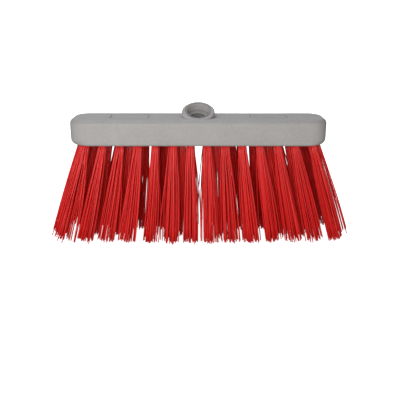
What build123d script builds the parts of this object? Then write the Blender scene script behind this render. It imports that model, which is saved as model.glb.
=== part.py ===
"""Push broom head: a moulded block with a tilted screw socket and flared bristle tufts.

The origin is on the floor under the middle of the block. +X runs along the block, -Y is the
front, the side that the socket leans towards, and +Z is up. All sizes are in millimetres.
"""
from build123d import *
import math
import os

# Block
block_length = 300.0
block_depth = 54.0
block_height = 30.0
corner_radius = 18.0
top_edge_radius = 5.5
# The lower edge is rounded more at the two ends than along the sides
lower_end_radius = 7.0
lower_side_radius = 2.2
lower_edge_levels = (0.0, 0.5, 1.2, 2.2, 2.8, 3.6, 4.4, 5.4, lower_end_radius)

# Blank frames cut into the top face: centre along X, length and depth
frame_cut_width = 0.9
frame_cut_depth = 0.7
frame_corner_radius = 2.5
frames = [(-81.0, 46.0, 22.0), (83.0, 44.0, 15.0)]

# Screw socket for the handle. Depths run down its axis from the mouth
socket_tilt = 25.0
socket_offset = -1.0
collar_rise = 8.7
collar_radius = 19.4
collar_edge_radius = 2.0
collar_root = 15.0
ring_cut_inner_radius = 14.1
ring_cut_outer_radius = 15.5
ring_cut_depth = 0.9
mouth_radius = 13.4
mouth_edge_radius = 0.5
mouth_depth = 9.0
thread_minor_radius = 10.0
thread_major_radius = 11.3
thread_pitch = 4.0
thread_root_width = 1.2
thread_mouth_width = 2.6
thread_overlap = 0.4
thread_run_out = 2.3
thread_top = 8.0
socket_depth = 31.0

# Bristle tufts. Each row's place across the block is in row spacings, and its tufts along one
# half of the block are in tuft pitches: the inner rows are sparse and clear the socket
bristle_drop = 116.0
tuft_pitch = 20.3
row_spacing = 14.0
row_lean = 8.0
side_flare = 0.255
outer_row = [step + 0.5 for step in range(7)]
rows = [
    ("front", -1.5, outer_row),
    ("front_inner", -0.5, [1.0, 2.5, 4.0, 5.25, 6.82]),
    ("back_inner", 0.5, [1.95, 3.17, 4.75, 6.0]),
    ("back", 1.5, outer_row),
]
hole_radius = 4.5
hole_depth = 12.0
hole_clearance = 0.05
tuft_tip_radius = 10.0

# Flat wire anchor that holds each tuft by its fold
anchor_bite = 0.7
anchor_thickness = 0.5
anchor_height = 2.0
anchor_cover = 1.5
anchor_clearance = 0.1

underside_z = bristle_drop
top_z = underside_z + block_height

# The socket's own frame: origin in the middle of its mouth, Z out of the mouth
tilt = math.radians(socket_tilt)
socket_out = Vector(0, -math.sin(tilt), math.cos(tilt))
mouth_centre = Vector(0, socket_offset, top_z) + socket_out * collar_rise
socket_axis = Axis(mouth_centre, socket_out)
socket_section = Plane(
    origin=mouth_centre, x_dir=(1, 0, 0), z_dir=Vector(1, 0, 0).cross(socket_out)
)


def inset(radius, height):
    """How far a rounded lower edge of that radius stands in from the side at that height."""
    below = max(radius - height, 0)
    return radius - math.sqrt(radius**2 - below**2)


def tuft_places():
    """Each tuft's name, its place along X and its row's place across the block."""
    places = []
    for label, row, half in rows:
        steps = [-step for step in reversed(half)] + half
        for number, step in enumerate(steps, start=1):
            places.append((f"tuft_{label}_{number:02d}", step * tuft_pitch, row))
    return places


def tuft_plane(x, row):
    """The frame of one tuft: origin where it leaves the block, Z up into the block."""
    root = Vector(x, row * row_spacing, underside_z)
    tip = Vector(x * (1 + side_flare), row * (row_spacing + row_lean), 0)
    return Plane(origin=root, x_dir=(1, 0, 0), z_dir=root - tip)


tufts = [(name, tuft_plane(x, row)) for name, x, row in tuft_places()]
anchor_level = hole_depth - anchor_cover - anchor_height / 2
anchor_length = 2 * (hole_radius + anchor_bite)

os.makedirs("parts", exist_ok=True)


# Block, with its collar, socket, tuft holes and anchor slits
with BuildPart() as block:
    for level in lower_edge_levels:
        end_inset = inset(lower_end_radius, level)
        side_inset = inset(lower_side_radius, level)
        with BuildSketch(Plane.XY.offset(underside_z + level)):
            RectangleRounded(
                block_length - 2 * end_inset,
                block_depth - 2 * side_inset,
                corner_radius - side_inset,
            )
    loft()
    with BuildSketch(Plane.XY.offset(underside_z + lower_end_radius)):
        RectangleRounded(block_length, block_depth, corner_radius)
    extrude(amount=block_height - lower_end_radius)
    fillet(block.edges().group_by(Axis.Z)[-1], radius=top_edge_radius)

    with BuildSketch(Plane.XY.offset(top_z)):
        for frame_x, frame_length, frame_depth in frames:
            with Locations((frame_x, 0)):
                RectangleRounded(frame_length, frame_depth, frame_corner_radius)
                RectangleRounded(
                    frame_length - 2 * frame_cut_width,
                    frame_depth - 2 * frame_cut_width,
                    frame_corner_radius - frame_cut_width,
                    mode=Mode.SUBTRACT,
                )
    extrude(amount=-frame_cut_depth, mode=Mode.SUBTRACT)

    with BuildSketch(socket_section):
        with BuildLine():
            edge_start = (collar_radius - collar_edge_radius, 0)
            edge_end = (collar_radius, -collar_edge_radius)
            Polyline(
                (0, 0),
                (ring_cut_inner_radius, 0),
                (ring_cut_inner_radius, -ring_cut_depth),
                (ring_cut_outer_radius, -ring_cut_depth),
                (ring_cut_outer_radius, 0),
                edge_start,
            )
            RadiusArc(edge_start, edge_end, collar_edge_radius)
            Polyline(edge_end, (collar_radius, -collar_root), (0, -collar_root), (0, 0))
        make_face()
    revolve(axis=socket_axis)

    with BuildSketch(socket_section):
        with BuildLine():
            mouth_edge = (mouth_radius, -mouth_edge_radius)
            mouth_rim = (mouth_radius + mouth_edge_radius, 0)
            RadiusArc(mouth_edge, mouth_rim, mouth_edge_radius)
            Polyline(
                mouth_rim,
                (0, 0),
                (0, -socket_depth),
                (thread_minor_radius, -socket_depth),
                (thread_minor_radius, -mouth_depth),
                (mouth_radius, -mouth_depth),
                mouth_edge,
            )
        make_face()
    revolve(axis=socket_axis, mode=Mode.SUBTRACT)

    # The thread is cut from its run-out above the socket's floor up into the wide mouth
    with BuildLine():
        thread_path = Helix(
            pitch=thread_pitch,
            height=socket_depth - thread_run_out - thread_top,
            radius=thread_minor_radius,
            center=mouth_centre - socket_out * (socket_depth - thread_run_out),
            direction=socket_out,
        )
    thread_start = thread_path @ 0
    thread_side = socket_out.cross(thread_start - socket_axis.position)
    with BuildSketch(Plane(origin=thread_start, x_dir=socket_out, z_dir=thread_side)):
        with BuildLine():
            cut_depth = thread_major_radius - thread_minor_radius
            Polyline(
                (-thread_mouth_width / 2, -thread_overlap),
                (-thread_root_width / 2, cut_depth),
                (thread_root_width / 2, cut_depth),
                (thread_mouth_width / 2, -thread_overlap),
                (-thread_mouth_width / 2, -thread_overlap),
            )
        make_face()
    sweep(path=thread_path, is_frenet=True, mode=Mode.SUBTRACT)

    for name, plane in tufts:
        with BuildSketch(plane.offset(-hole_depth)):
            Circle(hole_radius)
        extrude(amount=2 * hole_depth, mode=Mode.SUBTRACT)
        with BuildSketch(plane.offset(anchor_level - anchor_height / 2)):
            Rectangle(anchor_length, anchor_thickness)
        extrude(amount=anchor_height, mode=Mode.SUBTRACT)

block.part.label = "block"
export_step(block.part, "parts/block.step")


# Tufts: a straight bundle in its hole that spreads to a round tip, trimmed level with the floor
tuft_hole_radius = hole_radius - hole_clearance
tuft_top = hole_depth - anchor_clearance
for name, plane in tufts:
    length = plane.origin.Z / plane.z_dir.Z
    flare = (tuft_tip_radius - tuft_hole_radius) / length
    uncut_length = length + tuft_tip_radius
    uncut_radius = tuft_hole_radius + uncut_length * flare
    section = Plane(origin=plane.origin, x_dir=plane.x_dir, z_dir=-plane.y_dir)
    with BuildPart() as tuft:
        with BuildSketch(section):
            with BuildLine():
                Polyline(
                    (0, tuft_top),
                    (tuft_hole_radius, tuft_top),
                    (tuft_hole_radius, 0),
                    (uncut_radius, -uncut_length),
                    (0, -uncut_length),
                    (0, tuft_top),
                )
            make_face()
        revolve(axis=Axis(plane.origin, plane.z_dir))
        split(bisect_by=Plane.XY, keep=Keep.TOP)
        slit_height = anchor_height + 2 * anchor_clearance
        with BuildSketch(plane.offset(anchor_level - slit_height / 2)):
            Rectangle(2 * anchor_length, anchor_thickness + 2 * anchor_clearance)
        extrude(amount=slit_height, mode=Mode.SUBTRACT)
    tuft.part.label = name
    export_step(tuft.part, f"parts/{name}.step")


# Anchors: one flat wire across each tuft's fold, with its ends bitten into the block
with BuildPart() as tuft_anchors:
    for name, plane in tufts:
        with BuildSketch(plane.offset(anchor_level - anchor_height / 2)):
            Rectangle(anchor_length, anchor_thickness)
        extrude(amount=anchor_height)
tuft_anchors.part.label = "tuft_anchors"
export_step(tuft_anchors.part, "parts/tuft_anchors.step")
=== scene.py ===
"""A push broom head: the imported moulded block, and bundles of separate filaments for its tufts.

The frame's origin is on the floor under the middle of the block, +X runs along the block, -Y is
the front and +Z is up, in metres.
"""
import math
import random

import bmesh
import bpy
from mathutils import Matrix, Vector


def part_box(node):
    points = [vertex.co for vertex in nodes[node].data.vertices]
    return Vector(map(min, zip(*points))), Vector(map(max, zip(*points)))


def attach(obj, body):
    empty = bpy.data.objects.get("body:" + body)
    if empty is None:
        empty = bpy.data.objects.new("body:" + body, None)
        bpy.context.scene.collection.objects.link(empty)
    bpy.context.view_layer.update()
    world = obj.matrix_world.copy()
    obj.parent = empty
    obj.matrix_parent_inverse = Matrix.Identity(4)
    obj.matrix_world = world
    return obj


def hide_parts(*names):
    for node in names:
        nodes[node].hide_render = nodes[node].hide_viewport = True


MM = 0.001
# The block's own height, without its collar
BLOCK_HEIGHT = 30 * MM

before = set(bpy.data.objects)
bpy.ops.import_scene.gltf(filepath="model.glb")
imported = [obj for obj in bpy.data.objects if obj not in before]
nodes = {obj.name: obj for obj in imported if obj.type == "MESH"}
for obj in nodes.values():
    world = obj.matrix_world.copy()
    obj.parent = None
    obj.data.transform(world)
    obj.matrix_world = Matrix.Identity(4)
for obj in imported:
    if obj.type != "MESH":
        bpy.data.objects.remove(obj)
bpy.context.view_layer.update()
block_low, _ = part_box("block")
underside_z = block_low.z

# ---------------------------------------------------------------- materials


def new_material(name):
    """An empty node material: (material, nodes, links, principled shader)."""
    material = bpy.data.materials.new(name)
    material.use_nodes = True
    tree = material.node_tree
    return material, tree.nodes, tree.links, tree.nodes["Principled BSDF"]


def add_noise(tree_nodes, links, place, scale, detail, roughness):
    """A noise pattern at that many cells a metre, read at the piece's own coordinates."""
    noise = tree_nodes.new("ShaderNodeTexNoise")
    noise.inputs["Scale"].default_value = scale
    noise.inputs["Detail"].default_value = detail
    noise.inputs["Roughness"].default_value = roughness
    links.new(place, noise.inputs["Vector"])
    return noise.outputs["Fac"]


def add_ramp(tree_nodes, links, value, stops):
    """A colour ramp with those (place, colour) stops, fed by value."""
    ramp = tree_nodes.new("ShaderNodeValToRGB")
    elements = ramp.color_ramp.elements
    while len(elements) < len(stops):
        elements.new(1.0)
    for element, (position, colour) in zip(elements, stops):
        element.position = position
        element.color = (*colour, 1)
    links.new(value, ramp.inputs["Fac"])
    return ramp.outputs["Color"]


def add_range(tree_nodes, links, value, low, high, source=(0.0, 1.0)):
    """Value, mapped from its source range to low..high."""
    mapped = tree_nodes.new("ShaderNodeMapRange")
    mapped.inputs["From Min"].default_value = source[0]
    mapped.inputs["From Max"].default_value = source[1]
    mapped.inputs["To Min"].default_value = low
    mapped.inputs["To Max"].default_value = high
    links.new(value, mapped.inputs["Value"])
    return mapped.outputs["Result"]


def add_product(tree_nodes, links, first, second):
    """The product of two colours."""
    mix = tree_nodes.new("ShaderNodeMix")
    mix.data_type = "RGBA"
    mix.blend_type = "MULTIPLY"
    mix.inputs["Factor"].default_value = 1.0
    links.new(first, mix.inputs["A"])
    links.new(second, mix.inputs["B"])
    return mix.outputs["Result"]


def add_bump(tree_nodes, links, height, strength, distance, below=None):
    """A bump of that height pattern, on top of the bump below it."""
    bump = tree_nodes.new("ShaderNodeBump")
    bump.inputs["Strength"].default_value = strength
    bump.inputs["Distance"].default_value = distance
    links.new(height, bump.inputs["Height"])
    if below is not None:
        links.new(below, bump.inputs["Normal"])
    return bump.outputs["Normal"]


# Painted shade on the block's rounded upper edges: how much darker their colour is made, by how
# far up their surface faces. Tuned; it stands for the light and sheen these edges lose, not for
# dirt or wear. Tuned by eye: it may be dirt, wear or only the light
EDGE_PAINTED_SHADE = [
    (0.0, 1.0), (0.15, 0.93), (0.3, 0.83), (0.5, 0.72), (0.8, 0.66), (0.97, 0.79), (1.0, 1.0),
]
CREVICE_REACH = 2.5 * MM


def block_material():
    """Light warm grey moulded plastic: flow mottling, specks and grain, with painted shade on the
    upper edges and in the creases.
    """
    material, tree_nodes, links, shader = new_material("moulded_grey")
    place = tree_nodes.new("ShaderNodeTexCoord").outputs["Object"]
    flow = add_noise(tree_nodes, links, place, 55.0, 5.0, 0.62)
    speckle = add_noise(tree_nodes, links, place, 420.0, 3.0, 0.6)
    grain = add_noise(tree_nodes, links, place, 1500.0, 3.0, 0.6)
    tint = add_ramp(
        tree_nodes, links, flow, [(0.32, (0.405, 0.385, 0.368)), (0.68, (0.445, 0.428, 0.412))]
    )
    fleck = add_ramp(
        tree_nodes, links, speckle, [(0.36, (0.93, 0.93, 0.93)), (0.60, (1.0, 1.0, 1.0))]
    )
    # Painted shade: the colour of the upper rounded edges is darkened by how far up their normal
    # faces
    facing = tree_nodes.new("ShaderNodeSeparateXYZ")
    links.new(tree_nodes.new("ShaderNodeNewGeometry").outputs["Normal"], facing.inputs["Vector"])
    stops = [(height, (shade, shade, shade)) for height, shade in EDGE_PAINTED_SHADE]
    edges = add_ramp(tree_nodes, links, facing.outputs["Z"], stops)
    # Painted shade: ambient occlusion darkens the colour in creases, hollows and at the collar's
    # base
    crevice = tree_nodes.new("ShaderNodeAmbientOcclusion")
    crevice.inputs["Distance"].default_value = CREVICE_REACH
    crevice_painted_shade = add_ramp(
        tree_nodes, links, crevice.outputs["AO"], [(0.30, (0.60, 0.59, 0.57)), (0.92, (1, 1, 1))]
    )
    marked = add_product(tree_nodes, links, tint, fleck)
    edged = add_product(tree_nodes, links, marked, edges)
    painted_shade_colour = add_product(tree_nodes, links, edged, crevice_painted_shade)
    links.new(painted_shade_colour, shader.inputs["Base Color"])
    coarse = add_bump(tree_nodes, links, flow, 0.35, 0.0006)
    fine = add_bump(tree_nodes, links, grain, 0.35, 0.00012, coarse)
    links.new(fine, shader.inputs["Normal"])
    links.new(add_range(tree_nodes, links, speckle, 0.44, 0.62), shader.inputs["Roughness"])
    shader.inputs["Specular IOR Level"].default_value = 0.45
    return material


def filament_material():
    """Bright red extruded filament, a little different in each one and along its length."""
    material, tree_nodes, links, shader = new_material("red_filament")
    each = tree_nodes.new("ShaderNodeNewGeometry").outputs["Random Per Island"]
    place = tree_nodes.new("ShaderNodeTexCoord").outputs["Object"]
    streak = add_noise(tree_nodes, links, place, 260.0, 2.0, 0.5)
    tint = add_ramp(
        tree_nodes,
        links,
        each,
        [(0.0, (0.72, 0.003, 0.002)), (0.5, (0.84, 0.010, 0.007)), (1.0, (0.95, 0.026, 0.020))],
    )
    shade = add_ramp(
        tree_nodes, links, streak, [(0.3, (0.90, 0.90, 0.90)), (0.7, (1.0, 1.0, 1.0))]
    )
    links.new(add_product(tree_nodes, links, tint, shade), shader.inputs["Base Color"])
    links.new(add_range(tree_nodes, links, streak, 0.24, 0.36), shader.inputs["Roughness"])
    links.new(add_bump(tree_nodes, links, streak, 0.15, 0.0002), shader.inputs["Normal"])
    shader.inputs["Specular IOR Level"].default_value = 0.6
    return material


def anchor_material():
    """Bright drawn stainless wire, with faint drawing marks."""
    material, tree_nodes, links, shader = new_material("anchor_wire")
    place = tree_nodes.new("ShaderNodeTexCoord").outputs["Object"]
    marks = add_noise(tree_nodes, links, place, 2500.0, 2.0, 0.5)
    tint = add_ramp(
        tree_nodes, links, marks, [(0.3, (0.52, 0.51, 0.49)), (0.7, (0.66, 0.65, 0.62))]
    )
    links.new(tint, shader.inputs["Base Color"])
    links.new(add_range(tree_nodes, links, marks, 0.28, 0.42), shader.inputs["Roughness"])
    shader.inputs["Metallic"].default_value = 1.0
    return material


def give_material(node, material):
    """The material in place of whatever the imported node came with."""
    node.data.materials.clear()
    node.data.materials.append(material)


# ---------------------------------------------------------------- tufts of filaments

FILAMENT_RADIUS = 0.57 * MM
FILAMENTS_PER_TUFT = 46
FILAMENT_SIDES = 8
FILAMENT_SEGMENTS = 8
FILAMENT_SIZES = (0.93, 1.04)
# A filament is cut square with a slight taper over its last bit
CUT_END_LENGTH = 0.2 * MM
CUT_END_SIZE = 0.72
HIDDEN_LENGTH = 6 * MM
FLOOR_GAP = 0.1 * MM

# How evenly a tuft spreads: a filament's place among the tips is its place in the hole, moved by
# a normal error in tuft radii, and the strays move much further; limits are in tuft radii too
TIP_ERROR = 0.13
STRAY_SHARE = 0.17
STRAY_ERROR = 0.55
TIP_LIMIT = 1.04
STRAY_LIMIT = 1.6
# A bundle opens quickly below its hole and more slowly lower down
EARLY_SPREAD = 0.62
# Tufts differ in how wide they open
WIDTHS = (0.88, 1.12)
# Tufts left of the middle lean a little more to +X than the CAD's: how far, where, how widely
LEAN_REACH = 4.6 * MM
LEAN_CENTRE = -50 * MM
LEAN_SPREAD = 70 * MM
BOW_ERROR = 0.45 * MM
MEAN_CUT = 0.8 * MM
LONGEST_CUT = 6 * MM
# Every filament is cut to the shortest tuft's length and this much more, less its own cut
EXTRA_LENGTH = 0.8 * MM
FIRST_SEED = 300


def tuft_line(node):
    """(root, tip, hole radius, tip radius) of a tuft's CAD solid, its root at the underside."""
    points = [vertex.co for vertex in node.data.vertices]
    end_face = [p for p in points if p.z < 0.05 * MM]
    tip = Vector(((min(p.x for p in end_face) + max(p.x for p in end_face)) / 2,
                  (min(p.y for p in end_face) + max(p.y for p in end_face)) / 2, 0))
    tip_radius = (max(p.y for p in end_face) - min(p.y for p in end_face)) / 2
    in_hole = [p for p in points if p.z > underside_z + 2 * MM]
    inner = sum(in_hole, Vector()) / len(in_hole)
    root = inner.lerp(tip, (underside_z - inner.z) / (tip.z - inner.z))
    down = (tip - root).normalized()
    hole_radius = max((p - inner).cross(down).length for p in in_hole)
    return root, tip, hole_radius, tip_radius


def sunflower(count, rng):
    """Points spread evenly over a disc of radius 1, turned by a random angle."""
    golden = math.pi * (3 - math.sqrt(5))
    turn = rng.uniform(0, 2 * math.pi)
    reaches = [math.sqrt((index + 0.5) / count) for index in range(count)]
    return [
        (reach * math.cos(turn + golden * index), reach * math.sin(turn + golden * index))
        for index, reach in enumerate(reaches)
    ]


def add_tube(points, faces, path, radius):
    """A closed round tube along path, added to points and faces, narrower at its cut end."""
    start = len(points)
    last = len(path) - 1
    for index, centre in enumerate(path):
        along = path[min(index + 1, last)] - path[max(index - 1, 0)]
        side = along.cross(Vector((0, 1, 0))).normalized()
        front = along.cross(side).normalized()
        size = radius * (CUT_END_SIZE if index == last else 1.0)
        for corner in range(FILAMENT_SIDES):
            angle = 2 * math.pi * corner / FILAMENT_SIDES
            offset = side * (size * math.cos(angle)) + front * (size * math.sin(angle))
            points.append(centre + offset)
    for ring in range(start, start + last * FILAMENT_SIDES, FILAMENT_SIDES):
        for corner in range(FILAMENT_SIDES):
            after = (corner + 1) % FILAMENT_SIDES
            near, far = ring + corner, ring + after
            faces.append((near, near + FILAMENT_SIDES, far + FILAMENT_SIDES, far))
    end = start + last * FILAMENT_SIDES
    faces.append(tuple(range(start, start + FILAMENT_SIDES)))
    faces.append(tuple(range(end + FILAMENT_SIDES - 1, end - 1, -1)))


def tip_place(u, v, rng):
    """Where a filament from (u, v) of the hole ends among the tips, in tuft radii."""
    stray = rng.random() < STRAY_SHARE
    error = STRAY_ERROR if stray else TIP_ERROR
    u += rng.gauss(0, error)
    v += rng.gauss(0, error)
    limit = STRAY_LIMIT if stray else TIP_LIMIT
    size = max(math.hypot(u, v) / limit, 1)
    return u / size, v / size


def filament_path(root, down, across, depth, start, end, length, bow):
    """The centre line of a filament, from inside the hole to its cut end."""
    path = []
    for index in range(FILAMENT_SEGMENTS + 1):
        reach = -HIDDEN_LENGTH + (length + HIDDEN_LENGTH) * index / FILAMENT_SEGMENTS
        share = max(reach, 0) / length
        spread = share + EARLY_SPREAD * share * (1 - share)
        swell = math.sin(math.pi * share)
        off_u = start[0] * (1 - spread) + end[0] * spread + bow[0] * swell
        off_v = start[1] * (1 - spread) + end[1] * spread + bow[1] * swell
        path.append(root + down * reach + across * off_u + depth * off_v)
    return path


def make_tuft(node, rng, full_length):
    """A bundle of separate filaments, packed tight in its hole and spread at its cut tips."""
    root, tip, hole_radius, tip_radius = tuft_line(node)
    down = (tip - root).normalized()
    across = (Vector((1, 0, 0)) - down * down.x).normalized()
    depth = down.cross(across)
    root_reach = hole_radius - FILAMENT_RADIUS
    tip_reach = tip_radius * rng.uniform(*WIDTHS) - FILAMENT_RADIUS
    leant = LEAN_REACH * math.exp(-(((root.x - LEAN_CENTRE) / LEAN_SPREAD) ** 2))
    points = []
    faces = []
    for u, v in sunflower(FILAMENTS_PER_TUFT, rng):
        end_u, end_v = tip_place(u, v, rng)
        start = (u * root_reach, v * root_reach)
        end = (end_u * tip_reach + leant, end_v * tip_reach)
        bow = (rng.gauss(0, BOW_ERROR), rng.gauss(0, BOW_ERROR))
        cut = min(rng.expovariate(1 / MEAN_CUT), LONGEST_CUT)
        radius = FILAMENT_RADIUS * rng.uniform(*FILAMENT_SIZES)
        slant = (down * full_length + across * (end[0] - start[0]) + depth * (end[1] - start[1]))
        drop = -slant.z / slant.length
        length = min(full_length - cut, (root.z - FLOOR_GAP) / drop)
        path = filament_path(root, down, across, depth, start, end, length, bow)
        path.append(path[-1] + (path[-1] - path[-2]).normalized() * CUT_END_LENGTH)
        lift = FLOOR_GAP + radius * 0.5 - path[-1].z
        if lift > 0:
            path[-1].z += lift
            path[-2].z += lift
        add_tube(points, faces, path, radius)
    name = "filaments_" + node.name.removeprefix("tuft_")
    mesh = bpy.data.meshes.new(name)
    mesh.from_pydata(points, [], faces)
    mesh.materials.append(red)
    mesh.polygons.foreach_set("use_smooth", [len(face) == 4 for face in faces])
    piece = bpy.data.objects.new(name, mesh)
    bpy.context.scene.collection.objects.link(piece)
    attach(piece, "root")
    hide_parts(node.name)


# ---------------------------------------------------------------- floor, light and camera


def make_floor():
    """A plain white studio floor that reaches far behind the object."""
    mesh = bmesh.new()
    bmesh.ops.create_grid(mesh, x_segments=1, y_segments=1, size=40)
    data = bpy.data.meshes.new("floor")
    mesh.to_mesh(data)
    mesh.free()
    floor = bpy.data.objects.new("floor", data)
    bpy.context.scene.collection.objects.link(floor)
    material, _, _, shader = new_material("floor_white")
    shader.inputs["Base Color"].default_value = (0.8, 0.8, 0.8, 1)
    shader.inputs["Roughness"].default_value = 0.9
    shader.inputs["Emission Color"].default_value = (1, 1, 1, 1)
    shader.inputs["Emission Strength"].default_value = 0.95
    data.materials.append(material)
    floor.visible_diffuse = False
    floor.visible_glossy = False


def add_area(name, place, target, size, power, colour=(1, 1, 1)):
    """A square soft light at place, facing target."""
    light = bpy.data.lights.new(name, "AREA")
    light.size = size
    light.energy = power
    light.color = colour
    lamp = bpy.data.objects.new(name, light)
    lamp.location = place
    lamp.rotation_euler = (Vector(target) - Vector(place)).to_track_quat("-Z", "Y").to_euler()
    bpy.context.scene.collection.objects.link(lamp)


def make_world(shown, ambient, lobe, azimuth, elevation):
    """A white surround, and to light the object a soft dome that is brightest that way."""
    world = bpy.data.worlds.new("studio")
    bpy.context.scene.world = world
    world.use_nodes = True
    tree_nodes, links = world.node_tree.nodes, world.node_tree.links
    towards = tree_nodes.new("ShaderNodeVectorMath")
    towards.operation = "DOT_PRODUCT"
    towards.inputs[1].default_value = (
        math.sin(azimuth) * math.cos(elevation),
        -math.cos(azimuth) * math.cos(elevation),
        math.sin(elevation),
    )
    links.new(tree_nodes.new("ShaderNodeTexCoord").outputs["Generated"], towards.inputs[0])
    dome = add_range(tree_nodes, links, towards.outputs["Value"], ambient, ambient + lobe)
    seen = tree_nodes.new("ShaderNodeMix")
    path = tree_nodes.new("ShaderNodeLightPath")
    links.new(path.outputs["Is Camera Ray"], seen.inputs["Factor"])
    links.new(dome, seen.inputs["A"])
    seen.inputs["B"].default_value = shown
    background = tree_nodes["Background"]
    background.inputs["Color"].default_value = (1, 1, 1, 1)
    links.new(seen.outputs["Result"], background.inputs["Strength"])


def make_camera():
    """The camera in front of the block, a little above it, looking slightly down."""
    distance = 605 * MM
    height = 121 * MM
    sideways = 2.0 * MM
    pitch = math.radians(16.5)
    top_z = underside_z + BLOCK_HEIGHT
    camera = bpy.data.cameras.new("camera")
    camera.lens = 48.6
    camera.sensor_width = 36.0
    camera.shift_y = -0.075
    camera.clip_start = 0.01
    holder = bpy.data.objects.new("camera", camera)
    holder.location = (sideways, block_low.y - distance, top_z + height)
    holder.rotation_euler = (math.pi / 2 - pitch, 0, 0)
    bpy.context.scene.collection.objects.link(holder)
    bpy.context.scene.camera = holder


red = filament_material()
give_material(nodes["block"], block_material())
give_material(nodes["tuft_anchors"], anchor_material())

tuft_names = sorted(name for name in nodes if name.startswith("tuft_") and name != "tuft_anchors")
tuft_lines = [tuft_line(nodes[name]) for name in tuft_names]
shortest = min((tip - root).length for root, tip, _, _ in tuft_lines)
for order, name in enumerate(tuft_names):
    make_tuft(nodes[name], random.Random(FIRST_SEED + order), shortest + EXTRA_LENGTH)

make_floor()
make_world(1.05, 0.13, 0.70, math.radians(-4), math.radians(50))
add_area("key", (-0.24, -0.82, 0.30), (-0.03, 0, 0.1), 0.6, 4.1)
add_area("top", (-0.25, 0.05, 0.80), (-0.05, 0, 0.14), 0.6, 2.1, (0.78, 0.86, 1.0))
add_area("rear", (0.15, 1.0, 0.02), (0, 0, 0.1), 0.25, 2.6)
make_camera()
bpy.context.scene.view_settings.view_transform = "Standard"
